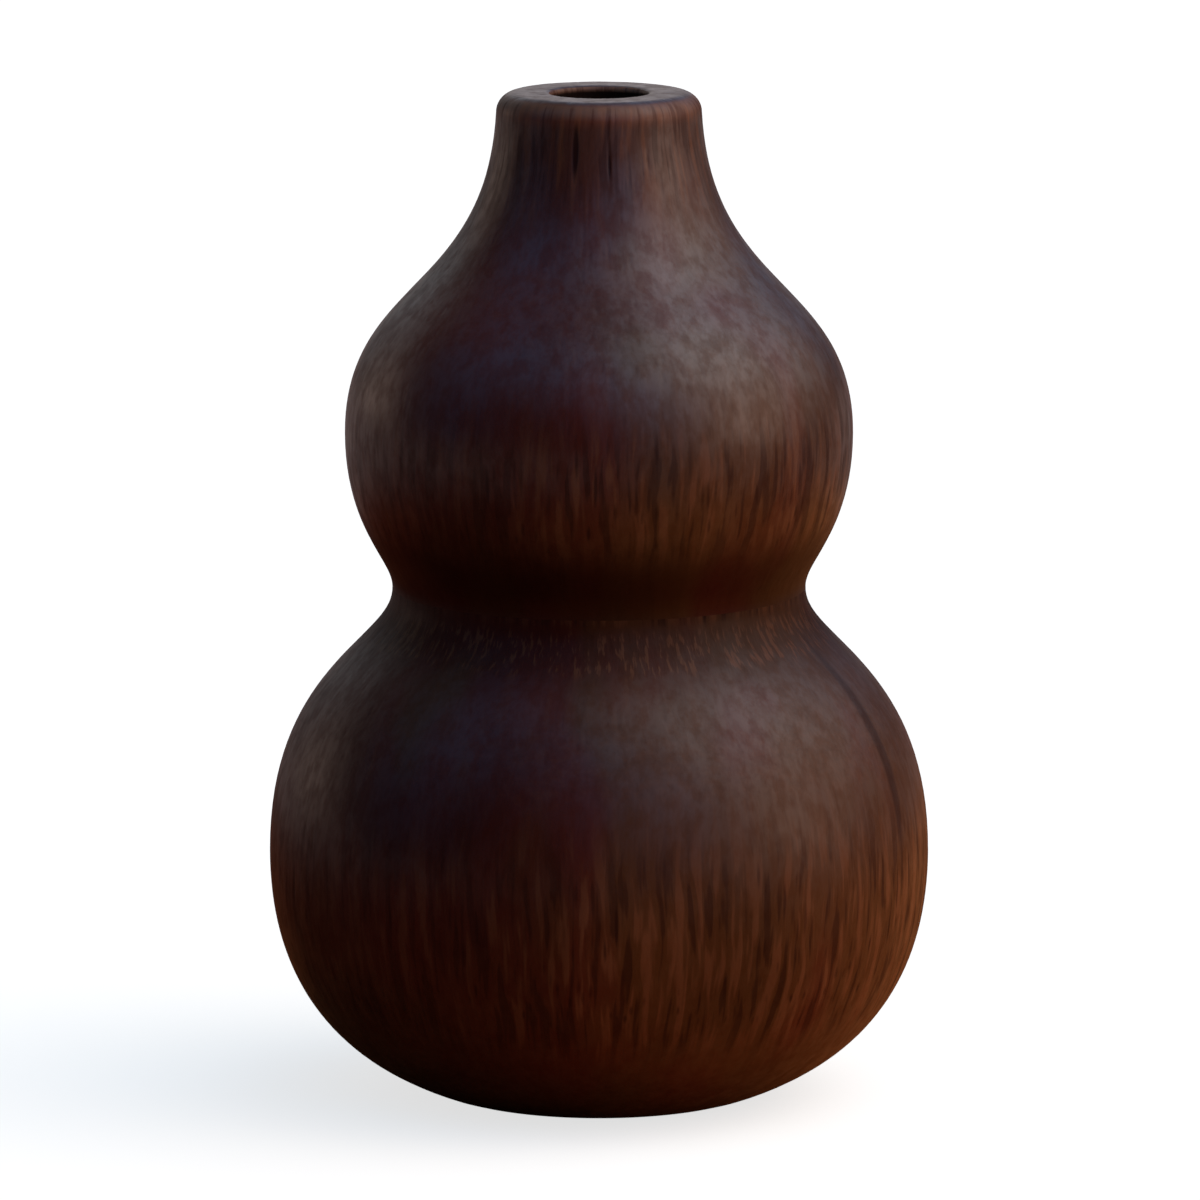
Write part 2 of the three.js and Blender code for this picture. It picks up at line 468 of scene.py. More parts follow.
def ring_outline(tube):
    """The closed section of the soft ring, its first point repeated at the end."""
    inner = TUBE_HIGH.x - tube.rim_width + tube.ring_gap
    outer = RING_HIGH.x
    soft = 0.35 * MM
    low, high = RING_LOW.z, RING_HIGH.z
    corners = (
        ((inner + soft, low + soft), 180),
        ((outer - soft, low + soft), 270),
        ((outer - soft, high - soft), 360),
        ((inner + soft, high - soft), 450),
    )
    outline = []
    for centre, angle in corners:
        outline += arc(centre, (soft, soft), angle, angle + 90, 4)
    return outline + outline[:1]


def felt_outline(form, felt):
    """The closed outline of the felt disc, from the underside's centre to the top's centre."""
    radius = form.foot_radius - form.felt_margin - FELT_GAP
    soft = felt.rounding
    low, high = FELT_LOW.z, FELT_HIGH.z
    rings = 16
    under = [(radius * i / rings, low) for i in range(rings)]
    corner = arc((radius - soft, low + soft), (soft, soft), -90, 0, 5)
    top = [(radius, high - 0.2 * MM), (radius - 0.2 * MM, high), (radius / 2, high), (0, high)]
    return under + corner + top


# Modelling steps.


def select_only(obj):
    """Leaves one object selected and active, in object mode."""
    if bpy.context.object and bpy.context.object.mode != "OBJECT":
        bpy.ops.object.mode_set(mode="OBJECT")
    bpy.ops.object.select_all(action="DESELECT")
    obj.select_set(True)
    bpy.context.view_layer.objects.active = obj


def turned(name, outline, sides):
    """A solid turned round the Z axis: one vertex drawn out along the outline, then spun."""
    bpy.ops.object.select_all(action="DESELECT")
    bpy.ops.mesh.primitive_plane_add(size=MM, location=(0, 0, 0))
    obj = bpy.context.object
    obj.name = name
    obj.data.name = name
    bpy.ops.object.mode_set(mode="EDIT")
    bpy.ops.mesh.select_all(action="SELECT")
    bpy.ops.mesh.merge(type="CENTER")
    bpy.ops.transform.translate(value=(outline[0][0], 0, outline[0][1]))
    for (r0, z0), (r1, z1) in zip(outline, outline[1:]):
        step = (r1 - r0, 0, z1 - z0)
        bpy.ops.mesh.extrude_region_move(TRANSFORM_OT_translate={"value": step})
    bpy.ops.mesh.select_all(action="SELECT")
    steps = sides
    bpy.ops.mesh.spin(steps=steps, angle=TURN, center=(0, 0, 0), axis=(0, 0, 1))
    bpy.ops.mesh.select_all(action="SELECT")
    bpy.ops.mesh.remove_doubles(threshold=0.002 * MM)
    bpy.ops.mesh.normals_make_consistent(inside=False)
    bpy.ops.object.mode_set(mode="OBJECT")
    return obj


def apply_modifiers(obj):
    """Applies every modifier of an object, in order."""
    select_only(obj)
    for name in [m.name for m in obj.modifiers]:
        bpy.ops.object.modifier_apply(modifier=name)


def smoothed(obj, degrees=32):
    """Smooth shading that keeps edges sharper than the angle."""
    select_only(obj)
    bpy.ops.object.shade_smooth_by_angle(angle=math.radians(degrees))


def finished(obj, body, slot, *nodes):
    """Hands a finished piece to the frame: what it rides on and what it stands for. The finish it is given
    is not used.
    """
    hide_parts(*nodes)
    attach(obj, body)


# Node trees.


class Net:
    """Adds the nodes of one tree, feeding each input with a socket or a plain value."""

    def __init__(self, tree):
        self.tree = tree

    def add(self, kind, feeds=None, **settings):
        node = self.tree.nodes.new(kind)
        node.location = (220 * (len(self.tree.nodes) % 9), -260 * (len(self.tree.nodes) // 9))
        for name, value in settings.items():
            setattr(node, name, value)
        for socket, value in (feeds or {}).items():
            self.feed(node.inputs[socket], value)
        return node

    def feed(self, socket, value):
        if isinstance(value, bpy.types.NodeSocket):
            self.tree.links.new(value, socket)
        elif socket.type == "RGBA":
            socket.default_value = (*value, 1)
        else:
            socket.default_value = value

    def math(self, operation, first, second=0.0):
        node = self.add("ShaderNodeMath", {0: first, 1: second}, operation=operation)
        return node.outputs[0]

    def times(self, first, second):
        return self.math("MULTIPLY", first, second)

    def plus(self, first, second):
        return self.math("ADD", first, second)

    def minus(self, first, second):
        return self.math("SUBTRACT", first, second)

    def most(self, first, second):
        return self.math("MAXIMUM", first, second)

    def left(self, mask, part):
        """What is left of 1 where a mask takes its part."""
        return self.minus(1.0, self.times(mask, part))

    def vector(self, operation, first, second=(0, 0, 0)):
        node = self.add("ShaderNodeVectorMath", {0: first, 1: second}, operation=operation)
        return node.outputs[0]

    def scaled(self, vector, scale):
        feeds = {0: vector, "Scale": scale}
        return self.add("ShaderNodeVectorMath", feeds, operation="SCALE").outputs[0]

    def stretched(self, vector, upward):
        """A place whose height is scaled, so that a pattern on it runs along the wood."""
        return self.vector("MULTIPLY", vector, (1, 1, upward))

    def dot(self, vector, direction):
        feeds = {0: vector, 1: direction}
        return self.add("ShaderNodeVectorMath", feeds, operation="DOT_PRODUCT").outputs[1]

    def size(self, vector):
        return self.add("ShaderNodeVectorMath", {0: vector}, operation="LENGTH").outputs[1]

    def span(self, value, low, high, out_low=0.0, out_high=1.0):
        """Maps low..high to the out values with a smooth step, and holds them outside."""
        feeds = {0: value, 1: low, 2: high, 3: out_low, 4: out_high}
        return self.add("ShaderNodeMapRange", feeds, interpolation_type="SMOOTHSTEP").outputs[0]

    def mix(self, factor, first, second, blend="MIX"):
        feeds = {0: factor, 6: first, 7: second}
        node = self.add("ShaderNodeMix", feeds, data_type="RGBA", blend_type=blend)
        return node.outputs[2]

    def shaded(self, colour_, tone):
        """A colour made lighter or darker by a tone."""
        return self.mix(1.0, colour_, self.joined(tone, tone, tone), "MULTIPLY")

    def noise(self, vector, scale, detail=2.0, roughness=0.5, output=0):
        feeds = {"Vector": vector, "Scale": scale, "Detail": detail, "Roughness": roughness}
        return self.add("ShaderNodeTexNoise", feeds).outputs[output]

    def wandering(self, place, scale, distance):
        """A place moved about a little by slow noise."""
        wander = self.noise(place, scale, 1.0, output="Color")
        wander = self.scaled(self.vector("SUBTRACT", wander, (0.5, 0.5, 0.5)), distance)
        return self.vector("ADD", place, wander)

    def bump(self, height, strength, distance):
        feeds = {"Height": height, "Strength": strength, "Distance": distance}
        return self.add("ShaderNodeBump", feeds).outputs[0]

    def parts(self, vector):
        return self.add("ShaderNodeSeparateXYZ", {0: vector}).outputs

    def joined(self, x, y, z):
        return self.add("ShaderNodeCombineXYZ", {0: x, 1: y, 2: z}).outputs[0]


def new_group(name, tree_type, inputs, outputs):
    """An empty node group with named sockets: (its net, its input node's outputs, its output node)."""
    tree = bpy.data.node_groups.new(name, tree_type)
    for label, kind, default in inputs:
        socket = tree.interface.new_socket(label, in_out="INPUT", socket_type="NodeSocket" + kind)
        if default is not None:
            socket.default_value = default
    for label, kind in outputs:
        tree.interface.new_socket(label, in_out="OUTPUT", socket_type="NodeSocket" + kind)
    net = Net(tree)
    return net, net.add("NodeGroupInput").outputs, net.add("NodeGroupOutput").inputs


def placed(net, group, **feeds):
    """Places a node group in a tree and gives its outputs."""
    shader = net.tree.bl_idname == "ShaderNodeTree"
    node = net.tree.nodes.new("ShaderNodeGroup" if shader else "GeometryNodeGroup")
    node.node_tree = group
    for name, value in feeds.items():
        net.feed(node.inputs[name.replace("_", " ").title()], value)
    return node.outputs


def open_fibres(tree_type):
    """Open fibres that run along Z, as lens shapes scattered in space. The surface cuts them.

    The same group is made for the shader and for the relief, so that both show the same fibres.
    """
    name = "Open Fibres" if tree_type == "ShaderNodeTree" else "Open Fibres Relief"
    if name in bpy.data.node_groups:
        return bpy.data.node_groups[name]
    net, given, result = new_group(
        name,
        tree_type,
        (
            ("Place", "Vector", None),
            ("Width", "Float", 1.3 * MM),
            ("Length", "Float", 15 * MM),
            ("Share", "Float", PORE_SHARE),
            ("Shift", "Float", 0.0),
        ),
        (("Fibres", "Float"), ("Depth", "Float")),
    )
    place = net.wandering(given["Place"], 60.0, 1.2 * MM)
    place = net.vector("ADD", place, net.joined(given["Shift"], given["Shift"], given["Shift"]))
    across = net.math("DIVIDE", 0.8, given["Width"])
    along = net.math("DIVIDE", 0.8, given["Length"])
    cells = net.vector("MULTIPLY", place, net.joined(across, across, along))
    feeds = {"Vector": cells, "Scale": 1.0, "Randomness": 1.0}
    voronoi = net.add("ShaderNodeTexVoronoi", feeds, voronoi_dimensions="3D", feature="F1")
    chance, depth, _ = net.parts(voronoi.outputs["Color"])
    lens = net.span(voronoi.outputs["Distance"], 0.42, 0.12)
    edge = net.minus(1.0, given["Share"])
    chosen = net.span(chance, net.minus(edge, 0.06), net.plus(edge, 0.06))
    net.feed(result["Fibres"], net.times(lens, chosen))
    net.feed(result["Depth"], net.plus(net.times(depth, 0.6), 0.4))
    return net.tree


def lone_fibre(net, place, azimuth, low, high, width):
    """One long mark on the outside, tapered at its ends."""
    a = math.radians(azimuth)
    sideways = net.dot(place, (math.cos(a), math.sin(a), 0))
    outward = net.dot(place, (math.sin(a), -math.cos(a), 0))
    height = net.minus(net.parts(place)[2], (low + high) / 2)
    reach = net.joined(net.times(sideways, 2 / width), net.times(height, 2 / (high - low)), 0.0)
    shape = net.span(net.size(reach), 1.0, 0.45)
    return net.times(shape, net.math("GREATER_THAN", outward, 0.0))


def relief_tree(wood):
    """Geometry nodes that sink the open fibres into the wood and let its surface waver."""
    net, given, result = new_group(
        "Wood Relief",
        "GeometryNodeTree",
        (("Geometry", "Geometry", None), ("Shift", "Float", 0.0)),
        (("Geometry", "Geometry"),),
    )
    place = net.add("GeometryNodeInputPosition").outputs[0]
    fibres = placed(
        net,
        open_fibres("GeometryNodeTree"),
        place=place,
        width=wood.fibre_width,
        length=wood.fibre_length,
        share=PORE_SHARE,
        shift=given["Shift"],
    )
    sunk = net.times(fibres["Fibres"], fibres["Depth"])
    for mark in NECK_FIBRES:
        sunk = net.most(sunk, net.times(lone_fibre(net, place, *mark), NECK_FIBRE_DEPTH))
    waver = net.noise(net.stretched(place, 0.6), 26.0, 1.0)
    ribs = net.noise(net.stretched(place, 0.07), 420.0, 1.0)
    depth = net.plus(net.times(sunk, wood.relief), net.times(waver, wood.unevenness))
    depth = net.plus(depth, net.times(ribs, RIB_DEPTH))
    named = net.add("GeometryNodeInputNamedAttribute", {"Name": "outside"}, data_type="FLOAT")
    depth = net.times(depth, named.outputs["Attribute"])
    normal = net.add("GeometryNodeInputNormal").outputs[0]
    offset = net.scaled(normal, net.times(depth, -1.0))
    feeds = {"Geometry": given["Geometry"], "Offset": offset}
    moved = net.add("GeometryNodeSetPosition", feeds)
    net.feed(result["Geometry"], moved.outputs[0])
    return net.tree


def mark_outside(obj, low, high, fade, inner_radius):
    """Stores how far each vertex may sink: 1 on the outside, fading to 0 at the joint and the foot."""
    attribute = obj.data.attributes.new("outside", "FLOAT", "POINT")
    for vertex, value in zip(obj.data.vertices, attribute.data):
        radius = math.hypot(vertex.co.x, vertex.co.y)
        outside = vertex.normal.x * vertex.co.x + vertex.normal.y * vertex.co.y
        facing_out = outside > 0 or vertex.co.z > high - 12 * MM
        clear = min((vertex.co.z - low) / fade, 1)
        clear = min(clear, (high - vertex.co.z) / fade) if inner_radius is None else clear
        shown = facing_out and (inner_radius is None or radius > inner_radius)
        value.value = max(0, clear) if shown else 0


def wood_zones(net, given):
    """Masks of the wood's zones. They follow the height and how far the surface leans up."""
    height = net.parts(given["Place"])[2]
    radius = net.size(net.stretched(given["Place"], 0))
    lean = net.parts(given["Normal"])[2]
    # The grain is hidden above the widest rings, where the sheen washes it out: painted sheen. It shows
    # below them, on the neck and the collar.
    below = net.times(net.span(lean, *GRAIN_STARTS), net.span(lean, *GRAIN_ENDS))
    # The left, away from the light, is painted in shade: its grain is hidden, its wood redder, its neck
    # less greyed.
    sideways = net.math("DIVIDE", net.parts(given["Place"])[0], net.plus(radius, 1 * MM))
    below = net.times(below, net.span(sideways, *GRAIN_SIDEWAYS))
    # Under the upper bulb, where the wood lies in shade, the grain is hidden: painted shade.
    smooth = net.times(net.span(height, *UNDER_BULB_SHADE_FROM_BELOW), net.span(height, *UNDER_BULB_SHADE_FROM_ABOVE))
    below = net.times(below, net.left(smooth, 0.9))
    neck = net.times(net.span(height, *NECK_FROM_BELOW), net.span(lean, *NECK_SIDE))
    from_collar = net.math("ABSOLUTE", net.minus(height, COLLAR_HEIGHT))
    collar = net.span(from_collar, *COLLAR_FROM_MIDDLE)
    inside = net.math("LESS_THAN", radius, MOUTH_EDGE_RADIUS)
    return SimpleNamespace(
        height=height,
        lean=lean,
        sideways=sideways,
        below=below,
        neck=neck,
        collar=collar,
        crease=net.times(net.span(height, *CREASE_FROM_BELOW), net.span(height, *CREASE_FROM_ABOVE)),
        edge=net.times(net.span(height, *LIP_EDGE_FROM_BELOW), net.span(lean, *LIP_SIDE)),
        top=net.span(height, *LIP_TOP_FROM_BELOW, 0.0, 0.75),
        mouth=net.times(net.span(height, *MOUTH_FROM_ABOVE), inside),
        open=net.most(net.most(below, net.times(collar, 0.9)), neck),
    )


def long_fibres(net, here, place, shift, zone):
    """The grain's value: high on pale worn fibres and low on dark open ones."""
    # The fibres follow the surface up and down, at an even width on each bulb and a finer one at the neck.
    reach = net.span(zone.height, 84 * MM, 106 * MM, 78 * MM, 55 * MM)
    reach = net.plus(reach, net.span(zone.height, 186 * MM, 214 * MM, 0.0, -24 * MM))
    around = net.vector("NORMALIZE", net.stretched(here, 0))
    around = net.vector("ADD", net.scaled(around, reach), shift)
    upward = net.vector("MULTIPLY", here, (0, 0, 1))

    def strands(stretch, scale, detail, roughness=0.5):
        """Noise drawn out along the fibres."""
        along = net.vector("ADD", around, net.scaled(upward, stretch))
        return net.noise(along, scale, detail, roughness)

    fibre = net.times(strands(0.12, 400.0, 2.0, 0.45), 0.82)
    fibre = net.plus(fibre, net.times(strands(0.06, 1000.0, 1.0), 0.18))
    # On the collar the steep shoulder cuts the fibres short, so they show as small ticks.
    ticks = strands(0.30, 760.0, 2.0, 0.6)
    fibre = net.plus(fibre, net.times(zone.collar, net.minus(ticks, fibre)))
    patchy = net.noise(net.stretched(place, 0.5), 90.0)
    return net.plus(fibre, net.times(net.minus(patchy, 0.5), 0.09))


def torn_fibres(net, wood, given, here, zone):
    """Open pores below the widest rings, the torn fibres of the neck and a painted reflection: a dark line
    on the right.
    """
    fibres = placed(
        net,
        open_fibres("ShaderNodeTree"),
        place=given["Place"],
        width=wood.fibre_width,
        length=wood.fibre_length,
        share=PORE_SHARE,
        shift=given["Shift"],
    )
    pore = net.times(net.times(fibres["Fibres"], fibres["Depth"]), 0.75)
    pore = net.times(pore, net.times(zone.below, net.span(zone.lean, *OPEN_PORES)))
    for mark in NECK_FIBRES:
        pore = net.most(pore, net.times(lone_fibre(net, given["Place"], *mark), 0.95))
    # Painted reflection: a dark line on the right of the lower bulb.
    return net.most(pore, net.times(lone_fibre(net, here, *DARK_REFLECTION_MARK), 0.6))


def stained_grain(wood):
    """The wood's colour, roughness, wax and fine relief, from a place on the vase and its normal."""
    name = "Stained Grain"
    if name in bpy.data.node_groups:
        return bpy.data.node_groups[name]
    net, given, result = new_group(
        name,
        "ShaderNodeTree",
        (
            ("Place", "Vector", None),
            ("Normal", "Vector", None),
            ("Shift", "Float", 0.0),
            ("Stain", "Color", (*wood.stain, 1)),
            ("Olive", "Color", (*wood.olive, 1)),
            ("Pore", "Color", (*wood.pore, 1)),
            ("Worn", "Color", (*wood.worn, 1)),
            ("Handled", "Color", (*wood.handled, 1)),
            ("Roughness", "Float", wood.roughness),
            ("Wax", "Float", 1.0),
        ),
        (("Color", "Color"), ("Roughness", "Float"), ("Wax", "Float"), ("Height", "Float")),
    )
    shift = net.joined(given["Shift"], given["Shift"], given["Shift"])
    here = net.wandering(given["Place"], 45.0, 3 * MM)
    place = net.vector("ADD", here, shift)
    slow = net.stretched(place, 0.3)
    zone = wood_zones(net, given)
    fibre = long_fibres(net, here, place, shift, zone)

    shown = net.times(zone.open, net.left(zone.neck, 0.25))
    pale = net.times(net.span(fibre, *PALE_GRAIN), shown)
    pale = net.times(pale, net.plus(1.0, net.times(zone.collar, 0.35)))
    pale = net.times(pale, net.left(zone.edge, 0.65))
    dark = net.times(net.span(fibre, *DARK_GRAIN), shown)
    dark = net.times(dark, net.left(zone.collar, 0.85))
    pore = torn_fibres(net, wood, given, here, zone)

    # Painted shade and light: redder on the left, in shade, and more olive on the right, where the light
    # falls.
    hue = net.plus(net.noise(slow, 34.0), net.times(zone.sideways, 0.17))
    body = net.mix(net.span(hue, 0.44, 0.64), given["Stain"], given["Olive"])
    # The neck is greyed by handling, painted more so on the right, where the light falls: painted light.
    held = net.times(zone.neck, net.plus(0.58, net.times(zone.sideways, 0.28)))
    greyed = net.most(net.most(zone.edge, zone.top), held)
    body = net.mix(greyed, body, given["Handled"])
    body = net.mix(net.times(pale, PALE_STRENGTH), body, given["Worn"])
    body = net.mix(net.times(dark, DARK_STRENGTH), body, given["Pore"])
    body = net.mix(pore, body, given["Pore"])
    tone = net.span(net.noise(slow, 21.0), 0.34, 0.66, 0.78, 1.18)
    # Painted shade: darker in the crease between the bulbs and towards the foot.
    tone = net.times(tone, net.left(zone.crease, 0.46))
    tone = net.times(tone, net.span(zone.height, *FOOT_SHADE, 0.48, 1.0))
    # Painted highlight: the lip's outer edge is painted lighter.
    tone = net.times(tone, net.plus(1.0, net.times(zone.edge, 1.35)))
    # Painted shade: patches on the left, away from the light, are painted darker.
    for mark, darker in PAINTED_SHADE_PATCHES:
        tone = net.times(tone, net.left(lone_fibre(net, here, *mark), darker))
    body = net.shaded(body, tone)
    # Painted shade: the inside of the mouth is painted near black.
    net.feed(result["Color"], net.mix(zone.mouth, body, MOUTH_SHADE_COLOUR))

    smear = net.minus(net.noise(slow, 80.0, 3.0), 0.5)
    rough = net.plus(given["Roughness"], net.times(smear, 0.22))
    rough = net.plus(rough, net.times(net.most(dark, pore), 0.14))
    net.feed(result["Roughness"], net.plus(rough, net.times(zone.mouth, 0.2)))

    # The wax is uneven and pitted, thin on open fibres, and rubbed off in the crease and the mouth.
    blots = net.noise(net.stretched(place, 0.6), 230.0, 3.0, 0.6)
    strokes = net.noise(net.stretched(place, 0.22), 640.0, 2.0, 0.6)
    wax = net.times(net.span(blots, 0.34, 0.62, 0.68, 1.14), net.span(strokes, 0.32, 0.60, 0.84, 1.06))
    wax = net.times(wax, net.span(smear, -0.16, 0.16, 0.90, 1.08))
    thin = (
        (zone.crease, 0.84),
        (zone.mouth, 0.9),
        (zone.neck, 0.10),
        (zone.edge, 0.55),
        (dark, 0.30),
        (pore, 0.5),
    )
    for mask, part in thin:
        wax = net.times(wax, net.left(mask, part))
    net.feed(result["Wax"], net.times(wax, given["Wax"]))

    # The finest fibres, the lathe's faint rings and the wax's pitting are too small for the mesh.
    rings = net.noise(net.joined(0.0, 0.0, zone.height), 800.0)
    pitting = net.noise(given["Place"], 1300.0, 1.0)
    brushed = net.noise(net.stretched(place, 0.25), 420.0, 3.0, 0.6)
    low = net.times(net.times(net.minus(fibre, 0.5), zone.open), 4.0)
    for layer, part in ((rings, 0.10), (pitting, 0.22), (brushed, 0.9)):
        low = net.plus(low, net.times(layer, part))
    net.feed(result["Height"], low)
    return net.tree


def new_material(name):
    """A new material: itself, its net, its Principled shader's inputs and the piece's coordinates."""
    material = bpy.data.materials.new(name)
    material.use_nodes = True
    net = Net(material.node_tree)
    shader = material.node_tree.nodes["Principled BSDF"].inputs
    return material, net, shader, net.add("ShaderNodeTexCoord").outputs


def stained_wood(name, wood, shift, wax):
    """Dark stained wood under rubbed wax."""
    material, net, shader, coordinates = new_material(name)
    grain = placed(
        net,
        stained_grain(wood),
        place=coordinates["Object"],
        normal=coordinates["Normal"],
        shift=shift,
        wax=wax,
    )
    net.feed(shader["Base Color"], grain["Color"])
    net.feed(shader["Coat Weight"], grain["Wax"])
    net.feed(shader["Roughness"], grain["Roughness"])
    net.feed(shader["Normal"], net.bump(grain["Height"], 0.45, 0.1 * MM))
    shader["Coat Roughness"].default_value = wood.wax_roughness
    shader["Coat IOR"].default_value = 1.55
    shader["Specular IOR Level"].default_value = wood.gloss
    return material


def bare_wood(wood):
    """The unstained hollow, with the gouge's rings."""
    material, net, shader, coordinates = new_material("bare_wood")
    place = coordinates["Object"]
    fine = net.span(net.noise(net.stretched(place, 0.08), 700.0), 0.5, 0.36)
    tone = net.span(net.noise(net.stretched(place, 0.2), 60.0, 3.0), 0.35, 0.7, 0.75, 1.1)
    body = net.mix(net.times(fine, 0.6), net.shaded(wood.bare, tone), wood.stain)
    net.feed(shader["Base Color"], body)
    ring = net.math("SINE", net.times(net.parts(place)[2], TURN / (1.4 * MM)))
    net.feed(shader["Normal"], net.bump(ring, 0.6, 0.1 * MM))
    shader["Roughness"].default_value = 0.7
    return material


def clear_glass(tube):
    """Clear drawn glass with faint water marks."""
    material, net, shader, coordinates = new_material("clear_glass")
    shader["Base Color"].default_value = (*tube.glass, 1)
    shader["Transmission Weight"].default_value = 1
    shader["IOR"].default_value = 1.47
    marks = net.noise(coordinates["Object"], 240.0, 4.0, 0.6)
    net.feed(shader["Roughness"], net.span(marks, 0.5, 0.72, 0.0, 0.09))
    return material


def soft_silicone(tube):
    """Milky silicone with a faint mould texture."""
    material, net, shader, coordinates = new_material("soft_silicone")
    place = coordinates["Object"]
    cloud = net.span(net.noise(place, 500.0), 0.3, 0.7, 0.85, 1.05)
    net.feed(shader["Base Color"], net.shaded(tube.ring, cloud))
    net.feed(shader["Normal"], net.bump(net.noise(place, 4000.0, 1.0), 0.3, 0.05 * MM))
    shader["Roughness"].default_value = 0.48
    shader["Subsurface Weight"].default_value = 0.15
    shader["Subsurface Radius"].default_value = (0.002, 0.002, 0.002)
    return material


def pressed_felt(felt):
    """Dark felt: tangled fibres with paler lint."""
    material, net, shader, coordinates = new_material("pressed_felt")
    place = coordinates["Object"]
    warp = net.scaled(net.noise(place, 300.0, output="Color"), 4 * MM)
    tangled = net.vector("ADD", place, warp)
    fibre = net.noise(net.vector("MULTIPLY", tangled, (1, 0.3, 1)), 3200.0, 3.0, 0.7)
    cross = net.noise(net.vector("MULTIPLY", tangled, (0.3, 1, 1)), 3000.0, 3.0, 0.7)
    tangle = net.most(fibre, cross)
    net.feed(shader["Base Color"], net.mix(net.span(tangle, 0.56, 0.78), felt.felt, felt.lint))
    net.feed(shader["Normal"], net.bump(tangle, 0.8, 0.2 * MM))
    shader["Roughness"].default_value = 0.95
    shader["Sheen Weight"].default_value = 0.4
    shader["Sheen Roughness"].default_value = 0.5
    return material


# Pieces.


def shift_of(obj):
    """Each half comes from its own block of wood, so its fibres are shifted by its own amount."""
    return {"lower_bulb_wood": 0.0, "upper_bulb_wood": 0.137}[obj.name]


def add_relief(obj, wood):
    """Sinks the fibres into the mesh and applies the result."""
    tree = bpy.data.node_groups.get("Wood Relief") or relief_tree(wood)
    modifier = obj.modifiers.new("Wood Relief", "NODES")
    modifier.node_group = tree
    sockets = [s for s in tree.interface.items_tree if s.name == "Shift"]
    modifier[sockets[0].identifier] = shift_of(obj)
    apply_modifiers(obj)


def paint_hollow(obj, wood, inside):
    """Gives the faces that a test calls inside the bare wood, and the others the stain."""
    wax = getattr(wood, obj.name.split("_")[0] + "_wax")
    obj.data.materials.append(stained_wood("stained_" + obj.name, wood, shift_of(obj), wax))
    obj.data.materials.append(bpy.data.materials.get("bare_wood") or bare_wood(wood))
    for face in obj.data.polygons:
        face.material_index = 1 if inside(face) else 0


class VASE_OT_lower_bulb(bpy.types.Operator):
    """Turns the lower half: foot, belly and the collar at the waist"""

    bl_idname = "vase.lower_bulb"
    bl_label = "Lower Bulb"

    def execute(self, context):
        form = context.scene.vase_form
        wood = context.scene.vase_wood
        obj = turned("lower_bulb_wood", lower_outline(form), form.lower_sides)
        mark_outside(obj, LOWER_LOW.z, LOWER_HIGH.z, 5 * MM, None)
        add_relief(obj, wood)
        rim = form.waist_radius - form.joint_face / 2

        def inside(face):
            facing_in = face.normal.x * face.center.x + face.normal.y * face.center.y < 0
            radius = math.hypot(face.center.x, face.center.y)
            hollow = face.center.z > FELT_HIGH.z + form.floor / 2
            return hollow and (facing_in or (face.center.z < form.belly_height and radius < rim))

        paint_hollow(obj, wood, inside)
        smoothed(obj)
        finished(obj, "vase", "stained_wood", "lower_bulb")
        return {"FINISHED"}


class VASE_OT_upper_bulb(bpy.types.Operator):
    """Turns the upper half: spigot, bulb, neck and lip"""

    bl_idname = "vase.upper_bulb"
    bl_label = "Upper Bulb"

    def execute(self, context):
        form = context.scene.vase_form
        wood = context.scene.vase_wood
        obj = turned("upper_bulb_wood", upper_outline(form), form.upper_sides)
        mark_outside(obj, LOWER_HIGH.z, UPPER_HIGH.z, 5 * MM, mouth_radius() + 0.5 * MM)
        add_relief(obj, wood)

        def inside(face):
            facing_in = face.normal.x * face.center.x + face.normal.y * face.center.y < 0
            return face.center.z < RING_LOW.z and (facing_in or face.center.z < LOWER_HIGH.z)

        paint_hollow(obj, wood, inside)
        smoothed(obj)
        finished(obj, "vase", "stained_wood", "upper_bulb")
        return {"FINISHED"}


class VASE_OT_water_tube(bpy.types.Operator):
    """Draws the glass tube with its round end and beaded rim"""

    bl_idname = "vase.water_tube"
    bl_label = "Water Tube"

    def execute(self, context):
        tube = context.scene.vase_tube
        obj = turned("water_tube_glass", tube_outline(tube), tube.sides)
        obj.data.materials.append(clear_glass(tube))
        smoothed(obj, 60)
        finished(obj, "tube", "clear_glass", "water_tube")
        return {"FINISHED"}


class VASE_OT_tube_ring(bpy.types.Operator):
    """Moulds the soft ring that the tube's rim rests on"""

    bl_idname = "vase.tube_ring"
    bl_label = "Tube Ring"

    def execute(self, context):
        tube = context.scene.vase_tube
        obj = turned("tube_ring_silicone", ring_outline(tube), tube.sides)
        obj.data.materials.append(soft_silicone(tube))
        smoothed(obj, 60)
        finished(obj, "vase", "soft_ring", "tube_ring")
        return {"FINISHED"}


class VASE_OT_base_felt(bpy.types.Operator):
    """Cuts the felt disc that the vase stands on"""

    bl_idname = "vase.base_felt"
    bl_label = "Base Felt"

    def execute(self, context):
        form = context.scene.vase_form
        felt = context.scene.vase_felt
        obj = turned("base_felt_disc", felt_outline(form, felt), 180)
        obj.data.materials.append(pressed_felt(felt))
        smoothed(obj)
        finished(obj, "vase", "dark_felt", "base_felt")
        return {"FINISHED"}


# Stage.

